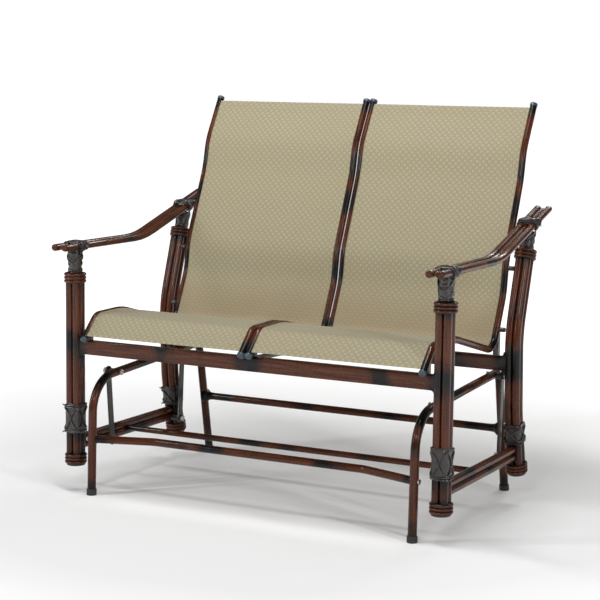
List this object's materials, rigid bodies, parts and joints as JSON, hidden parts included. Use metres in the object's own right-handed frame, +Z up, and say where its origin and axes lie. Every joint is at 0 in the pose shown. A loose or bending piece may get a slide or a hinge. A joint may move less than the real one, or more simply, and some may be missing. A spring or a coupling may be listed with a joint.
{
  "type": "glider swing",
  "caption": "Two-seat patio glider: fabric slings in a frame with reed-bundle posts and cane arms, hung by swinging bars from a hoop base so that it glides front to back.",
  "frame": {"origin": "bottom centre of the whole object, on the floor", "axes": "+X to the sitter's left-hand side seen from the front, +Z up, the seat faces -Y"},
  "size_m": [1.0918, 0.75, 1.024],
  "materials": {
    "tortoise_frame": "glossy brushed-on brown and black cane finish",
    "dark_metal": "satin black",
    "steel": "dull zinc",
    "bushing": "matte nylon",
    "cap_rubber": "matte",
    "plug": "slate grey, satin",
    "leather": "dark wrapped cane and cord",
    "spline": "flexible cord",
    "sling_fabric": "woven khaki sling cloth"
  },
  "bodies": {
    "base": {"base_hoop_left": "tortoise_frame", "base_hoop_right": "tortoise_frame", "base_front_crossbar": "tortoise_frame", "base_rear_crossbar": "tortoise_frame", "base_foot_caps": "cap_rubber", "crossbar_bolts": "steel", "upper_pivot_bolts": "steel", "upper_pivot_nuts": "steel"},
    "hanger_front_left_body": {"hanger_front_left": "dark_metal", "bushings_front_left": "bushing"},
    "hanger_front_right_body": {"hanger_front_right": "dark_metal", "bushings_front_right": "bushing"},
    "hanger_rear_left_body": {"hanger_rear_left": "dark_metal", "bushings_rear_left": "bushing"},
    "hanger_rear_right_body": {"hanger_rear_right": "dark_metal", "bushings_rear_right": "bushing"},
    "seat": {"post_front_left": "tortoise_frame", "post_front_right": "tortoise_frame", "post_rear_left": "tortoise_frame", "post_rear_right": "tortoise_frame", "top_collars": "tortoise_frame", "foot_collars": "tortoise_frame", "foot_plugs": "cap_rubber", "arm_spigots": "steel", "arm_necks": "leather", "arm_left": "tortoise_frame", "arm_right": "tortoise_frame", "arm_wraps": "leather", "post_lashings": "leather", "seat_front_rail": "tortoise_frame", "seat_rear_rail": "tortoise_frame", "centre_support": "dark_metal", "rail_saddles": "dark_metal", "side_stretcher_left": "tortoise_frame", "side_stretcher_right": "tortoise_frame", "middle_stretcher": "tortoise_frame", "lower_pivot_bolts": "steel", "sling_rail_outer_left": "tortoise_frame", "sling_rail_inner_left": "tortoise_frame", "sling_rail_inner_right": "tortoise_frame", "sling_rail_outer_right": "tortoise_frame", "rail_end_plugs": "plug", "rail_spacers": "dark_metal", "spacer_studs": "steel", "sling_spreaders": "dark_metal", "sling_splines_left": "spline", "sling_splines_right": "spline", "sling_left": "sling_fabric", "sling_right": "sling_fabric"}
  },
  "joints": [
    {"name": "glide_front_left", "type": "hinge", "parent": "base", "child": "hanger_front_left_body", "pos_m": [-0.48095, -0.202, 0.30583], "axis": [1, 0, 0], "range_deg": [-9, 9]},
    {"name": "glide_front_right", "type": "hinge", "parent": "base", "child": "hanger_front_right_body", "pos_m": [0.48095, -0.202, 0.30583], "axis": [1, 0, 0], "range_deg": [-9.5, 9.5]},
    {"name": "glide_rear_left", "type": "hinge", "parent": "base", "child": "hanger_rear_left_body", "pos_m": [-0.48095, 0.17, 0.32556], "axis": [1, 0, 0], "range_deg": [-9.5, 9.5]},
    {"name": "glide_rear_right", "type": "hinge", "parent": "base", "child": "hanger_rear_right_body", "pos_m": [0.48095, 0.17, 0.32556], "axis": [1, 0, 0], "range_deg": [-9.5, 9.5]},
    {"name": "seat_pivot", "type": "hinge", "parent": "hanger_front_left_body", "child": "seat", "pos_m": [-0.48095, -0.184, 0.1173], "axis": [1, 0, 0], "range_deg": [-11.7, 11.7]}
  ],
  "couplings": [
    {"joint": "glide_front_right", "follows": "glide_front_left", "ratio": 1},
    {"joint": "glide_rear_left", "follows": "glide_front_left", "ratio": 0.90528},
    {"joint": "glide_rear_right", "follows": "glide_front_left", "ratio": 0.90528},
    {"joint": "seat_pivot", "follows": "glide_front_left", "ratio": -1.0844}
  ]
}
